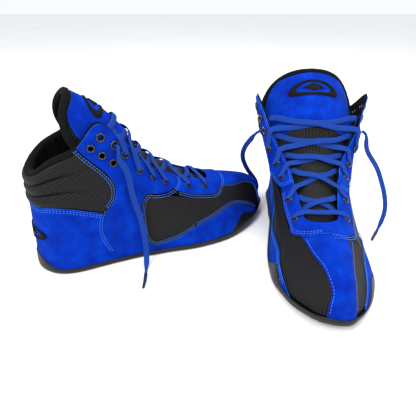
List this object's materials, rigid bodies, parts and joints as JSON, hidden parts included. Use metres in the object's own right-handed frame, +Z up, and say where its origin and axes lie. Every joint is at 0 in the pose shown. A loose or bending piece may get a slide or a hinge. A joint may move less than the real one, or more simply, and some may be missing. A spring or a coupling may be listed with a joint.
{
  "type": "pair of boxing boots",
  "caption": "Pair of lace-up high-top boxing boots with suede and mesh uppers, thin rubber soles, round metal eyelets and flat laces, one laced higher than the other.",
  "frame": {"origin": "centre of the pair's bounding box, on the floor under the outsoles, without the free lace ends", "axes": "+Z up; +X across the pair, from the left boot to the right boot; -Y the way the right boot's toe points"},
  "size_m": [0.4203, 0.2936, 0.1868],
  "materials": {
    "rubber": "matt",
    "board": "pressed fibre",
    "lining": "brushed",
    "mesh": "air mesh",
    "suede": "suede",
    "embroidery": "satin stitch",
    "eyelet": "semi-gloss",
    "lace": "flat braid",
    "aglet": "smooth"
  },
  "bodies": {
    "left_boot": {"left_ankle_mesh": "mesh", "left_collar_lining": "lining", "left_collar_pad": "lining", "left_heel_counter": "suede", "left_heel_emblem": "embroidery", "left_heel_stiffener": "board", "left_insole_board": "board", "left_lace": "lace", "left_lateral_aglet": "aglet", "left_lateral_eyelets": "eyelet", "left_lateral_lace_end": "lace", "left_lateral_quarter": "suede", "left_medial_aglet": "aglet", "left_medial_eyelets": "eyelet", "left_medial_lace_end": "lace", "left_medial_quarter": "suede", "left_outsole": "rubber", "left_sockliner": "lining", "left_toe_stripe": "suede", "left_tongue_base": "mesh", "left_vamp_facing": "suede", "left_vamp_mesh": "mesh"},
    "left_tongue": {"left_tongue_binding": "lining", "left_tongue_emblem": "embroidery", "left_tongue_flap": "mesh", "left_tongue_patch": "suede"},
    "right_boot": {"right_ankle_mesh": "mesh", "right_collar_lining": "lining", "right_collar_pad": "lining", "right_heel_counter": "suede", "right_heel_emblem": "embroidery", "right_heel_stiffener": "board", "right_insole_board": "board", "right_lace": "lace", "right_lateral_aglet": "aglet", "right_lateral_eyelets": "eyelet", "right_lateral_lace_end": "lace", "right_lateral_quarter": "suede", "right_medial_aglet": "aglet", "right_medial_eyelets": "eyelet", "right_medial_lace_end": "lace", "right_medial_quarter": "suede", "right_outsole": "rubber", "right_sockliner": "lining", "right_toe_stripe": "suede", "right_tongue_base": "mesh", "right_vamp_facing": "suede", "right_vamp_mesh": "mesh"},
    "right_tongue": {"right_tongue_binding": "lining", "right_tongue_emblem": "embroidery", "right_tongue_flap": "mesh", "right_tongue_patch": "suede"}
  },
  "joints": [
    {"name": "right_boot_lift", "type": "slide", "parent": "left_boot", "child": "right_boot", "axis": [0, 0, 1], "range_m": [0, 0.15]},
    {"name": "left_tongue_fold", "type": "hinge", "parent": "left_boot", "child": "left_tongue", "pos_m": [-0.101, -0.00154, 0.15844], "axis": [-0.4446, 0.8957, 0], "range_deg": [-8, 25], "stiffness_Nm_per_rad": 0.12},
    {"name": "right_tongue_fold", "type": "hinge", "parent": "right_boot", "child": "right_tongue", "pos_m": [0.12543, 0.04963, 0.15844], "axis": [0.9998, -0.0192, 0], "range_deg": [-8, 25], "stiffness_Nm_per_rad": 0.12}
  ]
}
